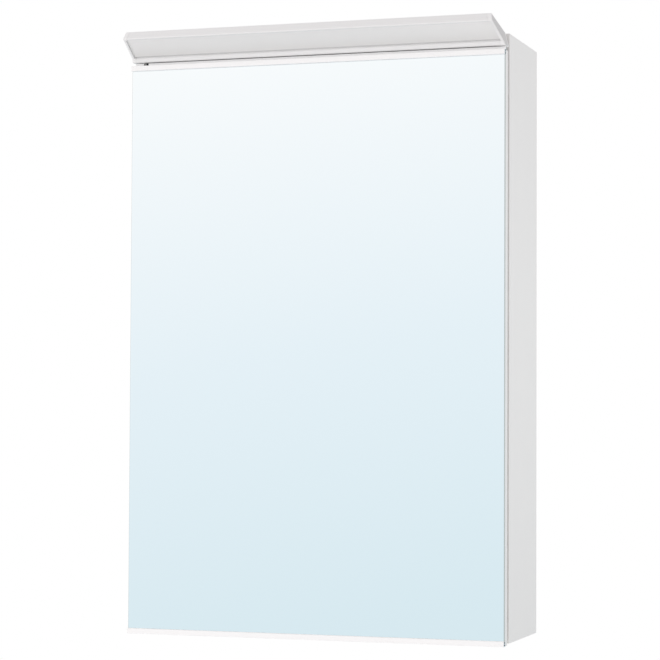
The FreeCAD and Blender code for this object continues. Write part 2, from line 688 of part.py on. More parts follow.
# Push switch at the left end, its plunger reaching below the light towards the door's top
switch_y = y_lip + SWITCH_FROM_LIP
well_height = PLUNGER_FLANGE + TRAVEL + OVERTRAVEL
well = rod(PLUNGER_FLANGE_R + GUIDE_CLEAR, V(switch_x, switch_y, switch_z[0]), Z, well_height)
switch = block(about(switch_x, SWITCH_LENGTH), about(switch_y, SWITCH_DEPTH), switch_z)
save("switch_body", switch.cut(well))
plunger_low = V(switch_x, switch_y, z_door_top + PLUNGER_DOOR_GAP)
flange_low = V(switch_x, switch_y, switch_z[0] + FIT)
plunger_length = flange_low.z - plunger_low.z + PLUNGER_FLANGE
save("switch_button", fuse_all([rod(PLUNGER_R, plunger_low, Z, plunger_length),
                                rod(PLUNGER_FLANGE_R, flange_low, Z, PLUNGER_FLANGE)]))
plunger_hole = rod(PLUNGER_R + GUIDE_CLEAR, V(switch_x, switch_y, z_light - PAST), Z, UNDERSIDE_T + 2 * PAST)

# Light housing: folded skin with an open window and lips that hold the diffuser
opening = [on_window(LOWER_LIP, -PAST), on_window(diffuser_top - DIFFUSER_HIDE, -PAST),
           on_window(diffuser_top - DIFFUSER_HIDE, LIP_T + PAST), on_window(LOWER_LIP, LIP_T + PAST)]
skin = solid.cut(prism_x(inner, *ray)).cut(prism_x(opening, *ray).common(between_ends(SIDE_BAR)))
lead_port = rod(LEAD_R + GUIDE_CLEAR, V(lead_x, y_back + PAST, lead_z), FRONT, LIGHT_BACK + 2 * PAST)
before_back = block(ray, (y_nose - PAST, y_back - LIGHT_BACK), light_z)
bosses = [rod(STANDOFF_R, V(p.x, y_back, p.z), Y, LIGHT_STANDOFF) for p in light_screw_starts]
shell = fuse_all([skin.cut(before_back.cut(between_ends(END_CAP)))] + bosses)
save("light_housing", cut_all(shell, light_screw_holes + [plunger_hole, lead_port]))

# End caps: hollow rounded ends of the same section, each with a spigot behind the diffuser's end
plug = inset(inner, [SLIP, SLIP, DIFFUSER + GUIDE_CLEAR, SLIP, SLIP, SLIP])
plug_hole = inset(plug, [SPIGOT_T] * len(plug))
cap_room = block(ray, (y_nose - PAST, y_back - LIGHT_BACK - SLIP), light_z).cut(between_ends(END_CAP - SLIP))
sheet = [on_window(diffuser_low, LIP_T), on_window(diffuser_top, LIP_T),
         on_window(diffuser_top, LIP_T + DIFFUSER), on_window(diffuser_low, LIP_T + DIFFUSER)]
seat = prism_x(inset(sheet, [-SLIP] * len(sheet)), *ray).common(between_ends(CAP_T))
ends = skin.common(cap_room).fuse(solid.common(cap_room).cut(between_ends(CAP_T)))
spigot_room = between_ends(CAP_T / 2).cut(between_ends(END_CAP + SPIGOT))
spigots = prism_x(plug, *ray).cut(prism_x(plug_hole, *ray)).common(spigot_room)
for name, side in (("light_end_left", -1), ("light_end_right", 1)):
    half = block(span(0.0, side * (x_out + PAST)), (y_nose - PAST, y_back + PAST), light_z)
    save(name, fuse_all([ends.common(half), spigots.common(half)]).cut(seat))

# Opal diffuser behind the lips, its ends in the caps' seats
save("light_diffuser", prism_x(sheet, *ray).common(between_ends(CAP_T + EDGE_GAP)))

# LED board under the roof of the housing, with its chips facing the diffuser
board_half = end_x(z_nose) - END_CAP - SPIGOT - LED_BOARD_END_GAP
board_s = (LED_BOARD_SETBACK, LED_BOARD_SETBACK + LED_BOARD_WIDTH)
board_depth = (ROOF_T, ROOF_T + LED_BOARD_T)
chip_s = about(sum(board_s) / 2, LED_WIDTH)
chip_depth = (board_depth[1], board_depth[1] + LED_T)


def under_roof_bar(s, depth, x):
    """Bar under the roof from its span along the roof, its depth below it and its span in X."""
    ring = [under_roof(s[0], depth[0]), under_roof(s[1], depth[0]),
            under_roof(s[1], depth[1]), under_roof(s[0], depth[1])]
    return prism_x(ring, *x)


first_chip = -board_half + LED_FROM_END
chip_pitch = -2 * first_chip / (LED_COUNT - 1)
save("led_board", under_roof_bar(board_s, board_depth, (-board_half, board_half)))
save("led_chips", [under_roof_bar(chip_s, chip_depth, about(first_chip + chip_pitch * k, LED_LENGTH))
                   for k in range(LED_COUNT)])
save("light_screws", [screw(p, Y, LIGHT_SCREW, LIGHT_SCREW_LENGTH, False) for p in light_screw_starts])

# Power box on the top board: base with two screw bosses, cover, rubber grommet for the supply cable
box_in_x = (box_x[0] + BOX_WALL, box_x[1] - BOX_WALL)
box_in_y = (box_y[0] + BOX_WALL, box_y[1] - BOX_WALL)
box_floor = box_z[0] + BOX_WALL
lid_low = box_z[1] - BOX_WALL
boss_y = box_in_y[1] - BOSS_R + BOSS_SINK
boss_x = (box_in_x[0] + BOSS_R - BOSS_SINK, box_in_x[1] - BOSS_R + BOSS_SINK)
cover_screw_starts = [V(x, boss_y, box_z[1] + COVER_SCREW[1]) for x in boss_x]
cover_screw_holes = [screw_hole(p, DOWN, COVER_SCREW, COVER_SCREW_LENGTH, False) for p in cover_screw_starts]
grommet_x = box_x[1] - GROMMET_INSET
grommet_z = sum(box_z) / 2
grommet_r = CABLE_R + GROMMET_WALL
grommet_hole = rod(grommet_r + FIT, V(grommet_x, box_in_y[1] - PAST, grommet_z), Y, BOX_WALL + 2 * PAST)
lead_drop = rod(LEAD_R + GUIDE_CLEAR, V(lead_x, lead_y, box_z[0] - PAST), Z, BOX_WALL + 2 * PAST)
tray = block(box_x, box_y, (box_z[0], lid_low)).cut(block(box_in_x, box_in_y, (box_floor, lid_low)))
bosses = [rod(BOSS_R, V(x, boss_y, box_z[0]), Z, lid_low - box_z[0]) for x in boss_x]
base = fuse_all([tray] + bosses)
save("power_box_base", cut_all(base, cover_screw_holes + box_screw_holes + [grommet_hole, lead_drop]))
lid = rounded(box_x, box_y, (lid_low, box_z[1]), BOX_ROUND)
save("power_box_cover", cut_all(lid, cover_screw_holes))
save("cover_screws", [screw(p, DOWN, COVER_SCREW, COVER_SCREW_LENGTH, False) for p in cover_screw_starts])
save("power_box_screws", [screw(p, DOWN, WOOD_SCREW, box_screw_length, True) for p in box_screw_starts])
grommet_y = (box_in_y[1] - GROMMET_FLANGE, box_y[1] + GROMMET_FLANGE)
flanges = [rod(grommet_r + GROMMET_LIP, V(grommet_x, y, grommet_z), Y, GROMMET_FLANGE)
           for y in (grommet_y[0], box_y[1])]
grommet_length = grommet_y[1] - grommet_y[0]
sleeve = rod(grommet_r, V(grommet_x, grommet_y[0], grommet_z), Y, grommet_length)
bore = rod(CABLE_R, V(grommet_x, grommet_y[0] - PAST, grommet_z), Y, grommet_length + 2 * PAST)
save("cable_grommet", fuse_all([sleeve] + flanges).cut(bore))

# LED driver and the terminal block beside it
driver_x = (box_x[0] + DRIVER_INSET, box_x[0] + DRIVER_INSET + DRIVER_LENGTH)
driver_y = (box_in_y[0] + DRIVER_FROM_WALL, box_in_y[0] + DRIVER_FROM_WALL + DRIVER_DEPTH)
save("led_driver", rounded(driver_x, driver_y, (box_floor, box_floor + DRIVER_HEIGHT), DRIVER_ROUND))
term_x = driver_x[1] + TERMINAL_GAP
term_y = about(sum(driver_y) / 2, TERMINAL_DEPTH)
term_top = box_floor + TERMINAL_HEIGHT
port_z = box_floor + PORT_RISE
poles = [term_x + POLE * (k + 0.5) for k in range(POLES)]
term_screw_starts = [V(x, y, term_top - TERMINAL_SINK) for x in poles
                     for y in (term_y[0] + TERMINAL_SCREW_IN, term_y[1] - TERMINAL_SCREW_IN)]
lead_ys = about(sum(term_y) / 2, THIN_LEAD_SPACING)
tools = [rod(PORT_R, V(x, term_y[1] - PORT_DEPTH, port_z), Y, PORT_DEPTH + PAST) for x in poles]
tools += [block(about(term_x + POLE * k, POLE_SLOT), (term_y[0] - PAST, term_y[1] + PAST),
                (term_top - POLE_SLOT_DEPTH, term_top + PAST)) for k in range(1, POLES)]
tools += [rod(THIN_LEAD_R + FIT, V(term_x - PAST, y, port_z), X, THIN_LEAD_IN + FIT + PAST) for y in lead_ys]
terminal = cut_all(block((term_x, term_x + POLE * POLES), term_y, (box_floor, term_top)), tools)
terminal = cut_all(terminal, [screw_hole(p, DOWN, TERMINAL_SCREW, TERMINAL_SCREW_LENGTH, False)
                              for p in term_screw_starts])
terminal = cut_all(terminal, [rod(TERMINAL_SCREW[0] + GUIDE_CLEAR, p, Z, TERMINAL_SINK + PAST)
                              for p in term_screw_starts])
save("terminal_block", terminal)
save("terminal_screws", [screw(p, DOWN, TERMINAL_SCREW, TERMINAL_SCREW_LENGTH, False)
                         for p in term_screw_starts])

# Leads: two from the terminals to the driver, one to the LED board, one from the switch
save("mains_leads", [rod(THIN_LEAD_R, V(driver_x[1], y, port_z), X, TERMINAL_GAP + THIN_LEAD_IN)
                     for y in lead_ys])
driver_mid = sum(driver_y) / 2
exit_z = box_floor + LEAD_RISE
solder_y, solder_z = under_roof(board_s[0] + SOLDER_IN, board_depth[1] + LEAD_R + SOLDER_GAP)
route = [V(driver_x[0], driver_mid, exit_z), V(lead_x, driver_mid, exit_z), V(lead_x, lead_y, exit_z),
         V(lead_x, lead_y, lead_z), V(lead_x, y_front - LEAD_BEND_OUT, lead_z), V(lead_x, solder_y, solder_z)]
save("led_lead", lead(route, LEAD_R))
tap_y, tap_z = under_roof(board_s[0] + SOLDER_IN, board_depth[1] + THIN_LEAD_R + SOLDER_GAP)
switch_top = V(switch_x, switch_y, switch_z[1])
save("switch_lead", lead([switch_top, switch_top + V(0, 0, TAP_RISE), V(-board_half + TAP_IN, tap_y, tap_z)],
                         THIN_LEAD_R))
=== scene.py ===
import math

import bmesh
import bpy
import numpy as np
from mathutils import Matrix, Vector


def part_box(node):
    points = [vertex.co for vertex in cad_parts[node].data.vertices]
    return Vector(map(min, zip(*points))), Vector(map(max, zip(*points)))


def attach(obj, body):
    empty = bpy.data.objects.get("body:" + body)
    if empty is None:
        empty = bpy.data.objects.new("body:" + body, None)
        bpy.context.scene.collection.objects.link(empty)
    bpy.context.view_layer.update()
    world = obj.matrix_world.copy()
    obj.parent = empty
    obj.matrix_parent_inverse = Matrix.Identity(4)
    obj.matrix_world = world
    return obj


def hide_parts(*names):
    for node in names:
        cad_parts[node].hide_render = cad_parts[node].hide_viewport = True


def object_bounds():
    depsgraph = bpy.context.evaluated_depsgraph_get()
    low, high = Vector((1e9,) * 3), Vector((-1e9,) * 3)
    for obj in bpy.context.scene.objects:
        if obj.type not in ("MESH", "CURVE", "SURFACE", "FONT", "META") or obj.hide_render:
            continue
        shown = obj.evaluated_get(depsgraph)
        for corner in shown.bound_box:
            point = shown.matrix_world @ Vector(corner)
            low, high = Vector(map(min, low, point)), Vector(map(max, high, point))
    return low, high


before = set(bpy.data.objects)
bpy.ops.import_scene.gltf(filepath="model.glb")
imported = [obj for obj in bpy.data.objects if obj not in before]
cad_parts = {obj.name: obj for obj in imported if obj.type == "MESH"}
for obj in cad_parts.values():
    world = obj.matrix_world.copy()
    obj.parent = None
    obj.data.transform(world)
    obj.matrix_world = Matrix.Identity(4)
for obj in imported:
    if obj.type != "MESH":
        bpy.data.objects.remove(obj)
cad_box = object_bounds()

# Carcass boards: particleboard pressed between two white melamine papers and sawn to size.
# The long edges have thin white bands, and the edges against the wall are left bare.
# Sizes of pieces and patterns are in millimetres; the places of lamps and camera are in metres.
MM = 1000.0


def linear(code):
    """Turns an sRGB hex colour into the linear colour with alpha that shaders take."""
    shares = np.array([int(code[i:i + 2], 16) for i in (0, 2, 4)]) / 255
    curve = np.where(shares <= 0.04045, shares / 12.92, ((shares + 0.055) / 1.055) ** 2.4)
    return (*curve, 1.0)


def per_mm(size):
    """Scale of a pattern whose features are that many millimetres wide, in metre coordinates."""
    return MM / size


def add(tree, kind, inputs, stops=(), **settings):
    """Adds a node, sets its own settings, gives a colour ramp its stops, from 0 to 1, and fills its inputs
    with values or with other nodes' outputs."""
    made = tree.nodes.new("ShaderNode" + kind)
    for name, value in settings.items():
        setattr(made, name, value)
    for index, (position, code) in enumerate(stops):
        ramp = made.color_ramp.elements
        stop = ramp[index] if index < len(ramp) else ramp.new(position)
        stop.position = position
        stop.color = linear(code)
    for name, value in inputs.items():
        if isinstance(value, bpy.types.NodeSocket):
            tree.links.new(value, made.inputs[name])
        else:
            made.inputs[name].default_value = value
    return made


def start(name, **sockets):
    """A new material: its node tree, its shader with even values set, and the piece's own coordinates."""
    material = bpy.data.materials.new(name)
    material.use_nodes = True
    tree = material.node_tree
    shader = tree.nodes["Principled BSDF"]
    for socket, value in sockets.items():
        shader.inputs[socket.replace("_", " ")].default_value = value
    return material, tree, shader, add(tree, "TexCoord", {})


def show(tree, shader, pattern, tones=None, roughness=None, relief_mm=None, metallic=None):
    """Lets a pattern from 0 to 1 run the colour between two tones, the roughness, the metal and a relief.
    A tone is a colour or another node's output."""
    if tones:
        mixed = add(tree, "MixRGB", {"Fac": pattern, "Color1": tones[0], "Color2": tones[1]})
        tree.links.new(mixed.outputs["Color"], shader.inputs["Base Color"])
    for socket, ends in (("Roughness", roughness), ("Metallic", metallic)):
        if ends:
            ranged = add(tree, "MapRange", {"Value": pattern, "To Min": ends[0], "To Max": ends[1]})
            tree.links.new(ranged.outputs["Result"], shader.inputs[socket])
    if relief_mm:
        bump = add(tree, "Bump", {"Height": pattern, "Distance": relief_mm / MM})
        tree.links.new(bump.outputs["Normal"], shader.inputs["Normal"])


def dress(material, *nodes):
    """Gives CAD nodes a material in every slot."""
    for name in nodes:
        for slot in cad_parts[name].material_slots:
            slot.material = material


# Melamine is even, hard and satin; its press plate leaves a fine pearl, drawn at 1.6 mm so that it shows.
# Bare particleboard is matt, with flakes of 1 to 3 mm in close pale browns and a few dark ones.
MELAMINE = linear("EFEFED")
MELAMINE_CLOUD = linear("ECECEB")
CLOUD_WIDTH = 40.0
PEARL_WIDTH = 1.6
CHIP_PALE = linear("D6C09A")
CHIP_DARK = linear("7D5C36")
CHIP_WIDTH = 2.2
CHIP_DUST = 0.9
BARE_BAND = 0.6


def chips(tree, place):
    """Pattern of bare particleboard from 0 to 1: a tone for each flake, times the dust between them."""
    flakes = add(tree, "TexVoronoi", {"Vector": place.outputs["Object"], "Scale": per_mm(CHIP_WIDTH)})
    tone = add(tree, "SeparateColor", {"Color": flakes.outputs["Color"]})
    dust = add(tree, "TexNoise", {"Vector": place.outputs["Object"], "Scale": per_mm(CHIP_DUST),
                                  "Detail": 3.0})
    mixed = add(tree, "Math", {0: tone.outputs["Red"], 1: dust.outputs["Fac"]}, operation="MULTIPLY")
    return mixed.outputs["Value"]


melamine, tree, shader, place = start("melamine_paper_pressed_on_particleboard", IOR=1.5)
cloud = add(tree, "TexNoise", {"Vector": place.outputs["Object"], "Scale": per_mm(CLOUD_WIDTH),
                               "Detail": 3.0})
pearl = add(tree, "TexNoise", {"Vector": place.outputs["Object"], "Scale": per_mm(PEARL_WIDTH),
                               "Detail": 2.0})
paper = add(tree, "MixRGB", {"Fac": cloud.outputs["Fac"], "Color1": MELAMINE, "Color2": MELAMINE_CLOUD})
core = add(tree, "MixRGB", {"Fac": chips(tree, place), "Color1": CHIP_PALE, "Color2": CHIP_DARK})
facing = add(tree, "SeparateXYZ", {"Vector": place.outputs["Normal"]})
depth = add(tree, "SeparateXYZ", {"Vector": place.outputs["Object"]})
at_wall = add(tree, "Math", {0: depth.outputs["Y"], 1: -BARE_BAND / MM}, operation="GREATER_THAN")
bare = add(tree, "Math", {0: facing.outputs["Y"], 1: at_wall.outputs["Value"]}, operation="MULTIPLY",
           use_clamp=True)
show(tree, shader, pearl.outputs["Fac"], relief_mm=0.02)
show(tree, shader, bare.outputs["Value"], tones=(paper.outputs["Color"], core.outputs["Color"]),
     roughness=(0.42, 0.85))
dress(melamine, "side_panel_left", "side_panel_right", "top_panel", "bottom_panel")

# Board fittings: beech dowels, turned steel bolts and die-cast zinc cams with a driver slot.
# They lie inside the boards, and only the cams' slotted ends show, above and below.
# The other plated screws of the cabinet have the bolts' finish.

# Beech is warm and pale with darker pores, which are finer than the 0.8 mm drawn here to let them show.
BEECH = linear("D9B98C")
BEECH_DARK = linear("B98F5E")
BEECH_PORES = 0.8
beech, tree, shader, place = start("beech_turned", Roughness=0.6)
grain = add(tree, "TexNoise", {"Vector": place.outputs["Object"], "Scale": per_mm(BEECH_PORES),
                               "Distortion": 1.5})
show(tree, shader, grain.outputs["Fac"], tones=(BEECH, BEECH_DARK), relief_mm=0.05)
dress(beech, "wood_dowels")

# Die-cast zinc has a dull grey skin, mottled where the metal flowed in the mould.
CAST_ZINC = linear("C9C9C6")
CAST_ZINC_DARK = linear("ABABA8")
CAST_MOTTLE = 1.2
zinc_cast, tree, shader, place = start("zinc_alloy_die_cast", Metallic=1.0)
skin = add(tree, "TexNoise", {"Vector": place.outputs["Object"], "Scale": per_mm(CAST_MOTTLE), "Detail": 4.0})
show(tree, shader, skin.outputs["Fac"], tones=(CAST_ZINC, CAST_ZINC_DARK), roughness=(0.35, 0.6),
     relief_mm=0.04)
dress(zinc_cast, "cam_locks")

# Zinc plate is bright and bluish, a little clouded by its bath.
ZINC_PLATE = linear("D5D8DC")
ZINC_PLATE_DARK = linear("BDC1C6")
BATH_CLOUD = 2.5
zinc_plate, tree, shader, place = start("steel_zinc_plated", Metallic=1.0)
bath = add(tree, "TexNoise", {"Vector": place.outputs["Object"], "Scale": per_mm(BATH_CLOUD), "Detail": 3.0})
show(tree, shader, bath.outputs["Fac"], tones=(ZINC_PLATE, ZINC_PLATE_DARK), roughness=(0.22, 0.4))
dress(zinc_plate, "cam_bolts", "hinge_plate_screws", "hinge_arm_screws", "hinge_cup_screws", "light_screws",
      "power_box_screws", "cover_screws")

# Back board: hardboard 3 mm thick, lacquered white on the room side and bare brown fibre on the wall side.
# It slides into grooves, with two bare particleboard rails behind it for the wall screws.

# The lacquer is smooth and satin; the bare side is matt, with pressed clumps of fibre up to 9 mm wide.
LACQUER = linear("ECECEA")
FIBRE_DARK = linear("77593B")
FIBRE_PALE = linear("A17F57")
CLUMP_WIDTH = 9.0
CLUMP_FROM = 0.35
CLUMP_TO = 0.65
TURNED_TO = 0.5
back_board, tree, shader, place = start("hardboard_lacquered_one_side")
fibre = add(tree, "TexNoise", {"Vector": place.outputs["Object"], "Scale": per_mm(CLUMP_WIDTH), "Detail": 8.0,
                               "Roughness": 0.8})
clumps = add(tree, "MapRange", {"Value": fibre.outputs["Fac"], "From Min": CLUMP_FROM, "From Max": CLUMP_TO})
brown = add(tree, "MixRGB", {"Fac": clumps.outputs["Result"], "Color1": FIBRE_DARK, "Color2": FIBRE_PALE})
facing = add(tree, "SeparateXYZ", {"Vector": place.outputs["Normal"]})
wall_side = add(tree, "Math", {0: facing.outputs["Y"], 1: TURNED_TO}, operation="GREATER_THAN")
show(tree, shader, fibre.outputs["Fac"], relief_mm=0.03)
show(tree, shader, wall_side.outputs["Value"], tones=(LACQUER, brown.outputs["Color"]), roughness=(0.35, 0.8))
dress(back_board, "back_panel")

# Sanded particleboard is matt all over, and its flakes stand a little proud.
rail_board, tree, shader, place = start("particleboard_sanded", Roughness=0.8)
show(tree, shader, chips(tree, place), tones=(CHIP_PALE, CHIP_DARK), relief_mm=0.05)
dress(rail_board, "hanging_rail_upper", "hanging_rail_lower")

# Shelves: 5 mm float glass with ground edges, clear across the face and green along the edge.
# They lie on clear soft pads, on nickel-plated steel supports pushed into the side boards.
# The two door bumpers on the right board are cast from the same clear plastic as the pads.

# The face is clear and sharp; the ground edge is frosted, and green because light goes a long way through it.
# Its grit is much finer than the 1.2 mm drawn here to let it show.
CLEAR_GLASS = linear("F4FAF8")
GREEN_EDGE = linear("A9CFC2")
GRIT_WIDTH = 1.2
FLAT_FACE = 0.8
shelf_glass, tree, shader, place = start("float_glass_ground_edges", IOR=1.52, Transmission_Weight=1.0)
facing = add(tree, "SeparateXYZ", {"Vector": place.outputs["Normal"]})
level = add(tree, "Math", {0: facing.outputs["Z"]}, operation="ABSOLUTE")
edge = add(tree, "Math", {0: level.outputs["Value"], 1: FLAT_FACE}, operation="LESS_THAN")
grit = add(tree, "TexNoise", {"Vector": place.outputs["Object"], "Scale": per_mm(GRIT_WIDTH), "Detail": 4.0})
frost = add(tree, "Math", {0: edge.outputs["Value"], 1: grit.outputs["Fac"]}, operation="MULTIPLY")
show(tree, shader, edge.outputs["Value"], tones=(CLEAR_GLASS, GREEN_EDGE))
show(tree, shader, frost.outputs["Value"], roughness=(0.0, 0.6))
dress(shelf_glass, "shelf_upper", "shelf_lower")

# Cast polyurethane is milky clear, with a soft and slightly uneven gloss.
CLEAR_SOFT = linear("F2F4F4")
CLEAR_SOFT_DARK = linear("E4E8E8")
CAST_SKIN = 1.5
clear_soft, tree, shader, place = start("polyurethane_cast_clear", IOR=1.49, Transmission_Weight=0.4)
skin = add(tree, "TexNoise", {"Vector": place.outputs["Object"], "Scale": per_mm(CAST_SKIN)})
show(tree, shader, skin.outputs["Fac"], tones=(CLEAR_SOFT, CLEAR_SOFT_DARK), roughness=(0.15, 0.3))
dress(clear_soft, "shelf_pads", "door_bumpers")

# Hinges, carcass side: cast cross plates screwed to the left board, each with a pressed steel arm clamped on.
# The arm is a shallow channel over its plate, flat where it bends, and rolled into an eye round the pin.
# Plates, arms, cups, pins and the shelf supports are plated with nickel and tumbled.
SHARP = math.radians(40)
MERGE = 1e-7
HALVINGS = 40


def block_distance(u, v, blocks, fillet):
    """Signed distance to flat rounded blocks: the length of max(|p - c| - h, 0) less the corner radius,
    inside negative. Blocks run into each other through a soft minimum as wide as the fillet."""
    aways = []
    for mid_u, mid_v, half_u, half_v, corner in blocks:
        du = np.abs(u - mid_u) - half_u + corner
        dv = np.abs(v - mid_v) - half_v + corner
        outside = np.hypot(np.maximum(du, 0), np.maximum(dv, 0))
        aways.append(outside + np.minimum(np.maximum(du, dv), 0) - corner)
    nearest = aways[0]
    for away in aways[1:]:
        share = np.clip(0.5 + 0.5 * (nearest - away) / fillet, 0, 1)
        nearest = nearest + (away - nearest) * share - fillet * share * (1 - share)
    return nearest


def outline_reach(turn, blocks, fillet, limit):
    """How far the blocks' outline lies from the middle at each turn: the zero of the distance, by halving."""
    near = np.zeros_like(turn)
    far = np.full_like(turn, limit)
    for _ in range(HALVINGS):
        middle = (near + far) / 2
        inside = block_distance(middle * np.cos(turn), middle * np.sin(turn), blocks, fillet) < 0
        near, far = np.where(inside, middle, near), np.where(inside, far, middle)
    return near


def smooth(share):
    """Soft step from 0 to 1, level at both ends: three times the square less twice the cube."""
    share = np.clip(share, 0, 1)
    return share * share * (3 - 2 * share)


def skinned(name, grids, around):
    """Object over grids of points in millimetres: neighbours share a face, and columns may close to a ring.
    Points that meet merge, faces turn outwards, and edges past the sharp angle stay crisp."""
    points, faces, first = [], [], 0
    for grid in grids:
        rows, columns = grid.shape[:2]
        row, column = np.meshgrid(np.arange(rows - 1), np.arange(columns - 1 + around), indexing="ij")
        after = (column + 1) % columns
        corners = [row * columns + column, row * columns + after,
                   (row + 1) * columns + after, (row + 1) * columns + column]
        faces += (np.stack(corners, -1).reshape(-1, 4) + first).tolist()
        points.append(grid.reshape(-1, 3) / MM)
        first += rows * columns
    mesh = bpy.data.meshes.new(name)
    mesh.from_pydata(np.concatenate(points).tolist(), [], faces)
    shell = bmesh.new()
    shell.from_mesh(mesh)
    bmesh.ops.remove_doubles(shell, verts=shell.verts, dist=MERGE)
    bmesh.ops.recalc_face_normals(shell, faces=shell.faces)
    shell.to_mesh(mesh)
    shell.free()
    mesh.polygons.foreach_set("use_smooth", np.ones(len(mesh.polygons), bool))
    mesh.set_sharp_from_angle(angle=SHARP)
    made = bpy.data.objects.new(name, mesh)
    bpy.context.scene.collection.objects.link(made)
    return made


def node_box(node):
    """Lowest and highest corner of a CAD node, in millimetres."""
    return [np.array(corner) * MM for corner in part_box(node)]


# Tumbled nickel plate is warm grey with a soft gloss, and its fine scuffs run together to wide faint clouds.
NICKEL = linear("D9D6D0")
NICKEL_DARK = linear("CFCCC5")
TUMBLE_CLOUD = 6.0
nickel, tree, shader, place = start("steel_nickel_plated_tumbled", Metallic=1.0)
tumble = add(tree, "TexNoise", {"Vector": place.outputs["Object"], "Scale": per_mm(TUMBLE_CLOUD),
                                "Detail": 6.0})
show(tree, shader, tumble.outputs["Fac"], tones=(NICKEL, NICKEL_DARK), roughness=(0.22, 0.3))
dress(nickel, "shelf_supports", "hinge_pins")

TURNS = 180
EDGE_STEPS = 7
PLATE_EDGE = 0.8
PLATE_BELOW_SCREWS = 0.1
CROSS_BAR = 8.0
CROSS_WING = 6.5
CROSS_CORNER = 3.0
CROSS_FILLET = 5.0
turns = np.arange(TURNS) * 2 * math.pi / TURNS
quarter = np.linspace(0, math.pi / 2, EDGE_STEPS)


def cross_plate(low, high):
    """Plate over a cross outline: rows of rings from the middle of the top, over a quarter-round edge, down
    the wall and back to the middle underneath; each ring is the outline less an inset."""
    half = (high - low) / 2
    blocks = ((0.0, 0.0, half[1], CROSS_BAR, CROSS_CORNER), (0.0, 0.0, CROSS_WING, half[2], CROSS_WING))
    edge = outline_reach(turns, blocks, CROSS_FILLET, half[1] + half[2])
    top = high[0] - low[0] - PLATE_BELOW_SCREWS
    rows = [(0.0, 0.0, top)]
    rows += [(1.0, PLATE_EDGE * (1 - math.sin(a)), top - PLATE_EDGE * (1 - math.cos(a))) for a in quarter]
    rows += [(1.0, 0.0, 0.0), (0.0, 0.0, 0.0)]
    kept, inset, rise = np.array(rows).T[..., None]
    radius = kept * (edge - inset)
    middle = (low + high) / 2
    return np.stack([low[0] + rise + 0 * radius, middle[1] + radius * np.cos(turns),
                     middle[2] + radius * np.sin(turns)], -1)


ARM_SHEET = 0.8
ARM_FLAT = 3.6
ARM_CORNER = 1.0
ARM_FLANGE = 0.6
ARM_TIP_FLAT = 2.9
ARM_TIP_FLANGE = 0.3
ARM_BEND = 2.5
ARM_FLATTEN = (9.0, 19.0)
ARM_LEAST_FOLD = 1e-3
EYE = 1.45
EYE_START = math.radians(30)
EYE_END = math.radians(330)
LEG_STEPS = 48
BEND_STEPS = 9
REVERSE_STEPS = 7
EYE_STEPS = 29
ACROSS_FLAT = np.array([0, 0.35, 0.7, 1, 1, 1, 1, 1, 1, 1, 1])
ACROSS_CORNER = np.array([0, 0, 0, 0, 0.2, 0.4, 0.6, 0.8, 1, 1, 1])
ACROSS_FLANGE = np.array([0, 0, 0, 0, 0, 0, 0, 0, 0, 0.5, 1])


def arm_path(rear, leg_x, pin):
    """Middle line of the arm in (x, y) and its heading: a straight leg, a bend, a straight web, a reverse
    bend and an eye round the pin. An arc's point is its centre plus radius times (cos, sin) of its angle, and
    its heading is a right angle before or after that angle."""
    bend = np.array([leg_x - ARM_BEND, pin[1] + ARM_BEND])
    reverse = pin + 2 * EYE * np.array([math.cos(EYE_START), math.sin(EYE_START)])
    leg = np.linspace(rear, bend[1], LEG_STEPS)[:-1]
    runs = [(np.full_like(leg, leg_x), leg, np.full_like(leg, -math.pi / 2))]
    arcs = ((bend, ARM_BEND, np.linspace(0, -math.pi / 2, BEND_STEPS), -1),
            (reverse, EYE, np.linspace(-math.pi / 2, EYE_START - math.pi, REVERSE_STEPS), -1),
            (pin, EYE, np.linspace(EYE_START, EYE_END, EYE_STEPS)[1:], 1))
    for centre, radius, a, way in arcs:
        runs.append((centre[0] + radius * np.cos(a), centre[1] + radius * np.sin(a), a + way * math.pi / 2))
    return [np.concatenate(part) for part in zip(*runs)]


def pressed_arm(low, high, pin):
    """Sheet along the arm's path. Across it lie half a flat, a corner arc and a flange, mirrored; the
    corner's angle goes from a right angle at the plate to nought before the bend, with its arc length
    kept."""
    x, y, heading = arm_path(high[1], high[0] - ARM_SHEET / 2, pin)
    begin, end = (low[1] + gap for gap in ARM_FLATTEN[::-1])
    s = smooth((begin - y) / (begin - end))[:, None]
    fold = math.pi / 2 * (1 - s) + ARM_LEAST_FOLD
    bow = ARM_CORNER * math.pi / 2 / fold
    half_flat = (ARM_FLAT + (ARM_TIP_FLAT - ARM_FLAT) * s) * ACROSS_FLAT
    lip = (ARM_FLANGE + (ARM_TIP_FLANGE - ARM_FLANGE) * s) * ACROSS_FLANGE
    across = half_flat + bow * np.sin(ACROSS_CORNER * fold) + lip * np.cos(fold)
    down = bow * (1 - np.cos(ACROSS_CORNER * fold)) + lip * np.sin(fold)
    across = np.concatenate([-across[:, :0:-1], across], 1)
    down = np.concatenate([down[:, :0:-1], down], 1)
    middle = (low[2] + high[2]) / 2
    x, y, heading = x[:, None], y[:, None], heading[:, None]
    return np.stack([x + np.sin(heading) * down, y - np.cos(heading) * down, middle + across], -1)


pin_low, pin_high = node_box("hinge_pins")
pin_at = ((pin_low + pin_high) / 2)[:2]
for name in ("upper", "lower"):
    plate = skinned("hinge_plate_%s_cast" % name, [cross_plate(*node_box("hinge_plate_" + name))], True)
    arm = skinned("hinge_arm_%s_pressed" % name, [pressed_arm(*node_box("hinge_arm_" + name), pin_at)], False)
    wall = arm.modifiers.new("sheet", "SOLIDIFY")
    wall.thickness = ARM_SHEET / MM
    wall.offset = 0.0
    for piece, node in ((plate, "hinge_plate_"), (arm, "hinge_arm_")):
        piece.data.materials.append(nickel)
        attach(piece, "cabinet")
        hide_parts(node + name)

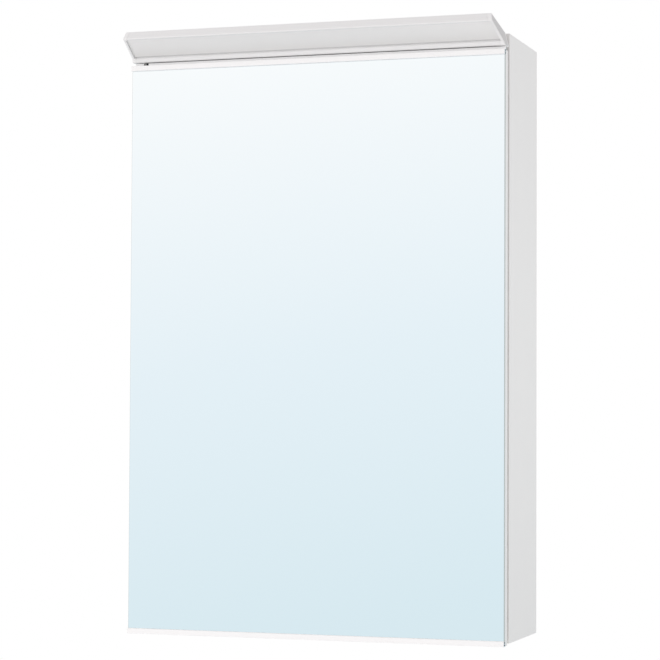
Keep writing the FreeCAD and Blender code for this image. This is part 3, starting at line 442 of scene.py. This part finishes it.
# Door board: fibreboard wrapped in white foil, bored on the back for the two hinge cups.
# The mirror is taped to its front, and an edge strip runs along its top and its bottom.

# Foil is smooth and satin, and lets faint waves of the board under it show.
FOIL = linear("F0F0EF")
FOIL_CLOUD = linear("EBEBEA")
FOIL_WAVE = 25.0
door_foil, tree, shader, place = start("foil_wrapped_on_fibreboard", IOR=1.48)
cloud = add(tree, "TexNoise", {"Vector": place.outputs["Object"], "Scale": per_mm(FOIL_WAVE), "Detail": 3.0})
show(tree, shader, cloud.outputs["Fac"], tones=(FOIL, FOIL_CLOUD), roughness=(0.3, 0.4), relief_mm=0.01)
dress(door_foil, "door_board")

# Hinge cups: drawn steel pots sunk in the door's back, each with a flange screwed down through two wings.
# Two cheeks inside the pot hold the pin that the arm's eye turns on.
CUP_WALL = 0.8
CUP_FLOOR = 0.7
CUP_RIM = 0.9
CUP_CORNER = 2.2
FLANGE_RING = 0.6
FLANGE_AT_SCREWS = 1.1
FLANGE_EDGE = 0.35
FLANGE_OVER = 0.9
SWELL_FROM = 0.4
SWELL_SPAN = 0.4
WING_OFFSET = 5.0
WING_HALF = 7.0
WING_FILLET = 4.0
CHEEK_HALF = 2.7
CHEEK_FROM_EYE = 0.8
CHEEK_SPAN = (5.3, 8.5)
CHEEK_TOP = 0.6
CHEEK_EASE = 0.3
ARCH_STEPS = 17


def drawn_cup(low, high, door_back):
    """Pot and flange as rings about the pot's axis: under the floor, up the outer wall, out to the flange's
    edge, over it, in across the flange, over the rim's quarter round, down the inner wall and across the
    floor. The flange swells softly towards the screws."""
    outer = (high[0] - low[0]) / 2
    inner = outer - CUP_WALL
    deep = door_back - low[1]
    floor = CUP_FLOOR - deep
    ring = outer + FLANGE_OVER
    blocks = ((0.0, 0.0, ring, ring, ring), (WING_OFFSET, 0.0, WING_HALF, (high[2] - low[2]) / 2, WING_HALF))
    edge = outline_reach(turns, blocks, WING_FILLET, high[2] - low[2])
    swell = smooth((np.abs(np.sin(turns)) - SWELL_FROM) / SWELL_SPAN)
    top = FLANGE_RING + (FLANGE_AT_SCREWS - FLANGE_RING) * swell
    even = np.ones_like(turns)
    rows = [(0 * even, -deep * even), (outer * even, -deep * even)]
    rows += [(outer * even, 0 * even), (edge, 0 * even)]
    rows += [(edge - FLANGE_EDGE * (1 - math.cos(a)), top - FLANGE_EDGE * (1 - math.sin(a))) for a in quarter]
    rows += [(inner + CUP_RIM * (1 - math.sin(a)) * even, top - CUP_RIM * (1 - math.cos(a))) for a in quarter]
    rows += [(inner - CUP_CORNER * (1 - math.cos(a)) * even, (floor + CUP_CORNER * (1 - math.sin(a))) * even)
             for a in quarter]
    rows += [(0 * even, floor * even)]
    radius, rise = np.array(rows).transpose(1, 0, 2)
    middle = (low + high) / 2
    return np.stack([middle[0] + radius * np.cos(turns), door_back + rise,
                     middle[2] + radius * np.sin(turns)], -1)


def cheek(low, high, door_back, side):
    """Upright arch beside the eye: two straight legs and a half round on top, pushed along Z with eased
    ends."""
    a = np.linspace(0, math.pi, ARCH_STEPS)
    foot = low[1] + CUP_FLOOR / 2
    bow = door_back - CHEEK_TOP - CHEEK_HALF
    centre = np.array([pin_at[0] + CHEEK_FROM_EYE, (foot + bow) / 2])
    arch = np.concatenate([np.stack([CHEEK_HALF * np.cos(a), CHEEK_HALF * np.sin(a) + bow - centre[1]], -1),
                           [[-CHEEK_HALF, foot - centre[1]], [CHEEK_HALF, foot - centre[1]]]])
    eased = 1 - CHEEK_EASE / CHEEK_HALF
    rows = ((0.0, 0.0), (eased, 0.0), (1.0, CHEEK_EASE), (1.0, -CHEEK_EASE), (eased, 0.0), (0.0, 0.0))
    share, ease = np.array(rows).T
    level = np.repeat(CHEEK_SPAN, len(rows) // 2) + ease
    outline = centre + share[:, None, None] * arch
    z = (low[2] + high[2]) / 2 + side * np.broadcast_to(level[:, None, None], outline.shape[:2] + (1,))
    return np.concatenate([outline, z], -1)


door_back = node_box("door_board")[1][1]
for name in ("upper", "lower"):
    box = node_box("hinge_cup_" + name)
    cup = skinned("hinge_cup_%s_drawn" % name, [drawn_cup(*box, door_back), cheek(*box, door_back, -1),
                                                cheek(*box, door_back, 1)], True)
    cup.data.materials.append(nickel)
    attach(cup, "door")
    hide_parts("hinge_cup_" + name)

# Mirror: 3 mm float glass, silvered and painted on the back, with cut edges eased by a small arris.
# Foam tapes hold it to the door board, and its upper and lower edges lie behind the edge strips' lips.

# The silvered face reflects the room sharply; the cut edge shows the glass itself, satin and grey green.
# The cut's streaks are finer than the 1.5 mm drawn here to let them show.
SILVER = linear("F7F8F8")
GLASS_EDGE = linear("BAC2BF")
GLASS_EDGE_DEEP = linear("ABB4B1")
STREAK_WIDTH = 1.5
ARRIS_TURN = 0.9
mirror, tree, shader, place = start("float_glass_silvered", IOR=1.52)
facing = add(tree, "SeparateXYZ", {"Vector": place.outputs["Normal"]})
face = add(tree, "Math", {0: facing.outputs["Y"], 1: -ARRIS_TURN}, operation="LESS_THAN")
streak = add(tree, "TexNoise", {"Vector": place.outputs["Object"], "Scale": per_mm(STREAK_WIDTH),
                                "Detail": 4.0})
cut = add(tree, "MixRGB", {"Fac": streak.outputs["Fac"], "Color1": GLASS_EDGE, "Color2": GLASS_EDGE_DEEP})
show(tree, shader, face.outputs["Value"], tones=(cut.outputs["Color"], SILVER), roughness=(0.25, 0.004),
     metallic=(0.0, 1.0))
dress(mirror, "mirror_glass")

# Foam tape is matt and off-white, dimpled by its cells, whose walls look darker.
# The cells are finer than the 0.7 mm drawn here to let them show.
FOAM = linear("F0F0EC")
FOAM_WALL = linear("DADAD4")
CELL_WIDTH = 0.7
foam, tree, shader, place = start("polyethylene_foam_tape", Roughness=0.8)
cells = add(tree, "TexVoronoi", {"Vector": place.outputs["Object"], "Scale": per_mm(CELL_WIDTH)})
show(tree, shader, cells.outputs["Distance"], tones=(FOAM, FOAM_WALL), relief_mm=0.2)
dress(foam, "mirror_tapes")

# Edge strips: hollow aluminium extrusions in white powder coat, clipped on above and below the mirror.
# They are sawn to length after coating, so their ends and the insides of their chambers are bare metal.

# Powder coat is an even satin white with a faint orange peel, drawn at 1.4 mm so that it shows.
# Bare aluminium is pale grey and reflects the room softly.
COAT = linear("FBFBFB")
COAT_CLOUD = linear("F9F9F9")
BARE_ALUMINIUM = linear("E4E6E7")
PEEL_WIDTH = 1.4
STRIP_TALL = 5.4
COAT_REACH = 0.6
reach = COAT_REACH / MM
half_tall = STRIP_TALL / 2 / MM
for node in ("door_strip_top", "door_strip_bottom"):
    strip_coat, tree, shader, place = start("aluminium_extruded_powder_coated_" + node, IOR=1.5)
    low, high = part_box(node)
    chambers = Vector((0.0, (low.y + reach + high.y) / 2, low.z + half_tall))
    peel = add(tree, "TexNoise", {"Vector": place.outputs["Object"], "Scale": per_mm(PEEL_WIDTH)})
    coat = add(tree, "MixRGB", {"Fac": peel.outputs["Fac"], "Color1": COAT, "Color2": COAT_CLOUD})
    facing = add(tree, "SeparateXYZ", {"Vector": place.outputs["Normal"]})
    endways = add(tree, "Math", {0: facing.outputs["X"]}, operation="ABSOLUTE")
    sawn = add(tree, "Math", {0: endways.outputs["Value"], 1: TURNED_TO}, operation="GREATER_THAN")
    offset = add(tree, "VectorMath", {0: place.outputs["Object"], 1: chambers}, operation="SUBTRACT")
    away = add(tree, "VectorMath", {0: offset.outputs["Vector"]}, operation="ABSOLUTE")
    away = add(tree, "SeparateXYZ", {"Vector": away.outputs["Vector"]})
    deep = add(tree, "Math", {0: away.outputs["Y"], 1: high.y - chambers.y}, operation="LESS_THAN")
    between = add(tree, "Math", {0: away.outputs["Z"], 1: half_tall - reach}, operation="LESS_THAN")
    inside = add(tree, "Math", {0: deep.outputs["Value"], 1: between.outputs["Value"]}, operation="MULTIPLY")
    bare = add(tree, "Math", {0: sawn.outputs["Value"], 1: inside.outputs["Value"]}, operation="MAXIMUM")
    show(tree, shader, peel.outputs["Fac"], relief_mm=0.01)
    show(tree, shader, bare.outputs["Value"], tones=(coat.outputs["Color"], BARE_ALUMINIUM),
         roughness=(0.32, 0.4), metallic=(0.0, 1.0))
    dress(strip_coat, node)

# Light housing: folded sheet aluminium in white powder coat, with lips round its window.
# Screws through stand-off bosses hold it to the top board's front edge.

# The coat is as even and satin as the strips', a shade greyer, with the same peel drawn as coarse.
SHEET_COAT = linear("EEEEEE")
SHEET_COAT_CLOUD = linear("EBEBEB")
light_coat, tree, shader, place = start("sheet_aluminium_powder_coated", IOR=1.5)
peel = add(tree, "TexNoise", {"Vector": place.outputs["Object"], "Scale": per_mm(PEEL_WIDTH)})
show(tree, shader, peel.outputs["Fac"], tones=(SHEET_COAT, SHEET_COAT_CLOUD), roughness=(0.3, 0.4),
     relief_mm=0.01)
dress(light_coat, "light_housing")

# End caps: hollow caps of white ABS, injection-moulded and pushed into the housing's ends by their spigots.
# The mould was spark-eroded, finely on the show faces and more deeply on the flanks.

# The fine matt spreads light evenly; the flanks are rougher, and their grey is painted shade.
# Both are finer than the 0.9 mm drawn here to let them show.
CAP_FACE = linear("F1F1F1")
CAP_FLANK_PAINTED_SHADE = linear("D0D0D0")
CAP_SPARK = 0.9
FLANK_FROM = 0.75
FLANK_TO = 0.95
cap_abs, tree, shader, place = start("abs_moulded_fine_matt", IOR=1.52)
spark = add(tree, "TexNoise", {"Vector": place.outputs["Object"], "Scale": per_mm(CAP_SPARK), "Detail": 2.0})
facing = add(tree, "SeparateXYZ", {"Vector": place.outputs["Normal"]})
sideways = add(tree, "Math", {0: facing.outputs["X"]}, operation="ABSOLUTE")
flank_shade_and_matt = add(tree, "MapRange", {"Value": sideways.outputs["Value"], "From Min": FLANK_FROM,
                               "From Max": FLANK_TO})
show(tree, shader, spark.outputs["Fac"], relief_mm=0.02)
# Painted shade: the cap's flanks, which face sideways, are coloured grey.
show(tree, shader, flank_shade_and_matt.outputs["Result"], tones=(CAP_FACE, CAP_FLANK_PAINTED_SHADE), roughness=(0.35, 0.6))
dress(cap_abs, "light_end_left", "light_end_right")

# Diffuser: opal acrylic sheet, satin on the outside, held behind the housing's lips.
# The light is off, so it is lit from the room alone.

# Light soaks a few millimetres into opal acrylic and comes back soft, with no sharp reflection.
# Its colour is painted shade: whiter upwards, and grey along the lower edge as a painted shadow line against
# the lip.
OPAL_PAINTED_SHADE = ((0.0, "C8C8C8"), (0.045, "CCCCCC"), (0.07, "E6E6E5"), (0.5, "F1F1F0"), (1.0, "F9F9F8"))
OPAL_SOAK = 4.0
SATIN_CLOUD = 18.0
opal, tree, shader, place = start("acrylic_opal_satin", IOR=1.49, Subsurface_Weight=0.25,
                                  Subsurface_Radius=(OPAL_SOAK / MM,) * 3, Subsurface_Scale=1.0)
satin = add(tree, "TexNoise", {"Vector": place.outputs["Object"], "Scale": per_mm(SATIN_CLOUD),
                               "Detail": 2.0})
show(tree, shader, satin.outputs["Fac"], roughness=(0.3, 0.38))
sheet_low, sheet_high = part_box("light_diffuser")
rise = add(tree, "SeparateXYZ", {"Vector": place.outputs["Object"]})
upwards = add(tree, "MapRange", {"Value": rise.outputs["Z"], "From Min": sheet_low.z,
                                 "From Max": sheet_high.z})
# Painted shade: the ramp runs from grey at the sheet's lower edge to white at its top.
depth = add(tree, "ValToRGB", {"Fac": upwards.outputs["Result"]}, stops=OPAL_PAINTED_SHADE)
tree.links.new(depth.outputs["Color"], shader.inputs["Base Color"])
dress(opal, "light_diffuser")

# LED board: glass-fibre board under white solder mask, fixed under the housing's roof.
# A row of chips is soldered along it, each a diode under yellow phosphor in silicone.

# Solder mask is a clean satin white, a shade darker in the gaps between the copper fields under it.
MASK = linear("F4F4F0")
MASK_GAP = linear("E2E2DC")
COPPER_FIELD = 60.0
mask, tree, shader, place = start("solder_mask_white", IOR=1.5)
tracks = add(tree, "TexBrick", {"Vector": place.outputs["Object"], "Scale": per_mm(COPPER_FIELD),
                                "Color1": MASK, "Color2": MASK, "Mortar": MASK_GAP})
tree.links.new(tracks.outputs["Color"], shader.inputs["Base Color"])
dress(mask, "led_board")

# Phosphor is a warm egg yellow under clear silicone; its grains are drawn at 0.5 mm so that they show.
PHOSPHOR = linear("F2DE8A")
PHOSPHOR_DEEP = linear("E8C95A")
PHOSPHOR_GRAIN = 0.5
phosphor, tree, shader, place = start("phosphor_in_silicone", IOR=1.41, Roughness=0.25)
grains = add(tree, "TexNoise", {"Vector": place.outputs["Object"], "Scale": per_mm(PHOSPHOR_GRAIN)})
show(tree, shader, grains.outputs["Fac"], tones=(PHOSPHOR, PHOSPHOR_DEEP))
dress(phosphor, "led_chips")

# Push switch: black moulded nylon body above the light's underside, with a small round plunger below it.
# The plunger slides up into its bore against a spring when it is pressed.

# Moulded nylon is near black with a dim sheen; its fine matt is drawn at 0.6 mm so that it shows.
NYLON = linear("17171A")
NYLON_PALE = linear("1F1F22")
NYLON_MATT = 0.6
nylon, tree, shader, place = start("nylon_moulded_black", IOR=1.53)
spark = add(tree, "TexNoise", {"Vector": place.outputs["Object"], "Scale": per_mm(NYLON_MATT)})
show(tree, shader, spark.outputs["Fac"], tones=(NYLON, NYLON_PALE), roughness=(0.4, 0.55))
dress(nylon, "switch_body", "switch_button")

# Power box on the top board: moulded base and lid, with the driver and the terminal block inside.
# Screws hold the base and the lid, and a rubber grommet lines the hole where the supply cable enters.
# Leads in white sheaths run from it to the LED board and the switch.

# Moulded polycarbonate is an even off-white; the mould's matt is drawn at 1.2 mm so that it shows.
POLYCARBONATE = linear("EFEFED")
POLYCARBONATE_DARK = linear("E8E8E6")
BOX_SPARK = 1.2
box_shell, tree, shader, place = start("polycarbonate_moulded_white", IOR=1.58)
spark = add(tree, "TexNoise", {"Vector": place.outputs["Object"], "Scale": per_mm(BOX_SPARK), "Detail": 2.0})
show(tree, shader, spark.outputs["Fac"], tones=(POLYCARBONATE, POLYCARBONATE_DARK), roughness=(0.4, 0.55),
     relief_mm=0.03)
dress(box_shell, "power_box_base", "power_box_cover")

# Moulded grey ABS is plain and matt, a little darker where it came out rougher, drawn as coarse as the box.
DRIVER_GREY = linear("C9CBCD")
DRIVER_GREY_DARK = linear("BFC1C3")
driver_abs, tree, shader, place = start("abs_moulded_grey", IOR=1.52)
spark = add(tree, "TexNoise", {"Vector": place.outputs["Object"], "Scale": per_mm(BOX_SPARK)})
show(tree, shader, spark.outputs["Fac"], tones=(DRIVER_GREY, DRIVER_GREY_DARK), roughness=(0.45, 0.6))
dress(driver_abs, "led_driver")

# Natural polyamide is creamy, with faint marks where it flowed into the mould.
POLYAMIDE = linear("ECE9DF")
POLYAMIDE_DARK = linear("E2DECF")
FLOW_WIDTH = 4.0
polyamide, tree, shader, place = start("polyamide_moulded_natural", IOR=1.53)
flow = add(tree, "TexNoise", {"Vector": place.outputs["Object"], "Scale": per_mm(FLOW_WIDTH)})
show(tree, shader, flow.outputs["Fac"], tones=(POLYAMIDE, POLYAMIDE_DARK), roughness=(0.4, 0.5))
dress(polyamide, "terminal_block")

# Turned brass is a bright pale yellow; its tool marks are drawn at 0.7 mm so that they show.
BRASS = linear("D9BE7A")
BRASS_DARK = linear("C4A45C")
TOOL_MARK = 0.7
brass, tree, shader, place = start("brass_turned", Metallic=1.0)
turning = add(tree, "TexNoise", {"Vector": place.outputs["Object"], "Scale": per_mm(TOOL_MARK)})
show(tree, shader, turning.outputs["Fac"], tones=(BRASS, BRASS_DARK), roughness=(0.25, 0.4))
dress(brass, "terminal_screws")

# Moulded rubber is a dull black, greyer in patches where its wax blooms.
RUBBER = linear("1C1C1C")
RUBBER_BLOOM = linear("2A2A2A")
BLOOM_WIDTH = 2.0
rubber, tree, shader, place = start("rubber_moulded_black", IOR=1.52)
bloom = add(tree, "TexNoise", {"Vector": place.outputs["Object"], "Scale": per_mm(BLOOM_WIDTH),
                               "Detail": 3.0})
show(tree, shader, bloom.outputs["Fac"], tones=(RUBBER, RUBBER_BLOOM), roughness=(0.6, 0.8))
dress(rubber, "cable_grommet")

# Extruded PVC is a soft white with a low, slightly uneven gloss.
SHEATH = linear("EFEFEC")
SHEATH_DARK = linear("E6E6E2")
SHEATH_WAVE = 3.0
sheath, tree, shader, place = start("pvc_extruded_white", IOR=1.53)
drawn = add(tree, "TexNoise", {"Vector": place.outputs["Object"], "Scale": per_mm(SHEATH_WAVE)})
show(tree, shader, drawn.outputs["Fac"], tones=(SHEATH, SHEATH_DARK), roughness=(0.4, 0.5))
dress(sheath, "led_lead", "switch_lead", "mains_leads")

# Studio floor: a pale round floor in matt paint, well below the hung cabinet.
# It fades out towards its rim, so that no edge shows against the white behind it.
# Its points are rings about the origin, radius times (cos, sin) of the turn, all at one level.
FLOOR_PAINT = linear("F2F2F2")
FLOOR_DROP = 1250.0
FLOOR_RADIUS = 2000.0
FLOOR_RINGS = 24
FADE_FROM = 0.4
floor_z = cad_box[0].z * MM - FLOOR_DROP
ring = np.linspace(0, FLOOR_RADIUS, FLOOR_RINGS + 1)[:, None]
disc = np.stack(np.broadcast_arrays(ring * np.cos(turns), ring * np.sin(turns), floor_z), -1)
floor = skinned("floor", [disc], True)
paint, tree, shader, place = start("floor_paint_matt", Base_Color=FLOOR_PAINT, Roughness=0.9)
outwards = add(tree, "VectorMath", {0: place.outputs["Object"], 1: (1.0, 1.0, 0.0)}, operation="MULTIPLY")
span = add(tree, "VectorMath", {0: outwards.outputs["Vector"]}, operation="LENGTH")
fade = add(tree, "MapRange", {"Value": span.outputs["Value"], "From Min": FADE_FROM * FLOOR_RADIUS / MM,
                              "From Max": FLOOR_RADIUS / MM}, interpolation_type="SMOOTHSTEP")
gone = add(tree, "BsdfTransparent", {})
mixed = add(tree, "MixShader", {0: fade.outputs["Result"], 1: shader.outputs["BSDF"],
                                2: gone.outputs["BSDF"]})
tree.links.new(mixed.outputs["Shader"], tree.nodes["Material Output"].inputs["Surface"])
floor.data.materials.append(paint)

# World: even light all round, a touch warm, and white straight behind the object.
# Reflections show a sweep from white just above eye level to pale blue below it and far above it,
# tilted a little to the right.
WHITE = linear("FFFFFF")
WARM_WHITE = linear("FFFBFB")
AMBIENT = 0.74
MIRROR_GAIN = 1.06
SWEEP_TILT = -0.18
SWEEP = ((-1.0, "B3C4CD"), (-0.45, "C3D6DF"), (-0.036, "D9EAF1"), (0.087, "E6F1F7"), (0.177, "F3F8FB"),
         (0.26, "FFFFFF"), (0.4, "F6FAFC"), (1.0, "CFDFE8"))
world = bpy.data.worlds.new("studio")
bpy.context.scene.world = world
world.use_nodes = True
tree = world.node_tree
tree.nodes.clear()
way = add(tree, "TexCoord", {})
height = add(tree, "VectorMath", {0: way.outputs["Generated"], 1: (SWEEP_TILT, 0.0, 1.0)},
             operation="DOT_PRODUCT")
lowest, highest = SWEEP[0][0], SWEEP[-1][0]
level = add(tree, "MapRange", {"Value": height.outputs["Value"], "From Min": lowest, "From Max": highest})
sweep = add(tree, "ValToRGB", {"Fac": level.outputs["Result"]},
            stops=[((rise - lowest) / (highest - lowest), code) for rise, code in SWEEP])
even = add(tree, "Background", {"Color": WARM_WHITE, "Strength": AMBIENT})
seen = add(tree, "Background", {"Color": WHITE, "Strength": 1.0})
mirrored = add(tree, "Background", {"Color": sweep.outputs["Color"], "Strength": MIRROR_GAIN})
path = add(tree, "LightPath", {})
straight = add(tree, "Math", {0: path.outputs["Is Camera Ray"], 1: path.outputs["Is Transmission Ray"]},
               operation="MAXIMUM")
glossy = add(tree, "MixShader", {0: path.outputs["Is Glossy Ray"], 1: even.outputs["Background"],
                                 2: mirrored.outputs["Background"]})
shown = add(tree, "MixShader", {0: straight.outputs["Value"], 1: glossy.outputs["Shader"],
                                2: seen.outputs["Background"]})
add(tree, "OutputWorld", {"Surface": shown.outputs["Shader"]})

# Lamps: a large soft box in front and to the left, one low in front, and an upright strip box on the right.
# Each has its place, its aim, its width and height, and its watts. They don't show in the mirror, which
# reflects the world's sweep.
LAMPS = (("front_box", (-1.3, -2.6, 0.3), (0.0, -0.12, -0.25), 1.6, 1.6, 13.5),
         ("low_box", (0.2, -1.9, -1.75), (0.0, -0.14, -0.1), 1.4, 1.4, 9.8),
         ("side_box", (0.65, -0.08, -0.26), (0.2, -0.06, -0.26), 0.3, 0.5, 0.37))
for name, spot, aim, width, height, watts in LAMPS:
    lamp = bpy.data.lights.new(name, "AREA")
    lamp.shape = "RECTANGLE"
    lamp.size = width
    lamp.size_y = height
    lamp.energy = watts
    box = bpy.data.objects.new(name, lamp)
    box.location = spot
    box.rotation_euler = (Vector(aim) - Vector(spot)).to_track_quat("-Z", "Y").to_euler()
    box.visible_camera = False
    box.visible_glossy = False
    bpy.context.scene.collection.objects.link(box)

# Camera: at the photograph's place, a little right of the cabinet and below its middle, with a long lens.
# Its place, its turns in degrees and its focal length in pixels come from a fit of the cabinet's edges.
PICTURE = 660
FOCAL = 2250
SENSOR = 36.0
CAMERA_AT = Vector((0.7281, -2.2909, -0.3373))
YAW, PITCH, ROLL = (math.radians(a) for a in (18.233, 2.21, 0.26))
ahead = Vector((-math.sin(YAW) * math.cos(PITCH), math.cos(YAW) * math.cos(PITCH), math.sin(PITCH)))
level_right = Vector((math.cos(YAW), math.sin(YAW), 0.0))
level_up = level_right.cross(ahead)
right = math.cos(ROLL) * level_right + math.sin(ROLL) * level_up
up = math.cos(ROLL) * level_up - math.sin(ROLL) * level_right
lens = bpy.data.cameras.new("camera")
lens.sensor_width = SENSOR
lens.lens = SENSOR * FOCAL / PICTURE
camera = bpy.data.objects.new("camera", lens)
camera.matrix_world = Matrix((right, up, -ahead)).transposed().to_4x4()
camera.location = CAMERA_AT
bpy.context.scene.collection.objects.link(camera)
bpy.context.scene.camera = camera
bpy.context.scene.view_settings.view_transform = "Standard"
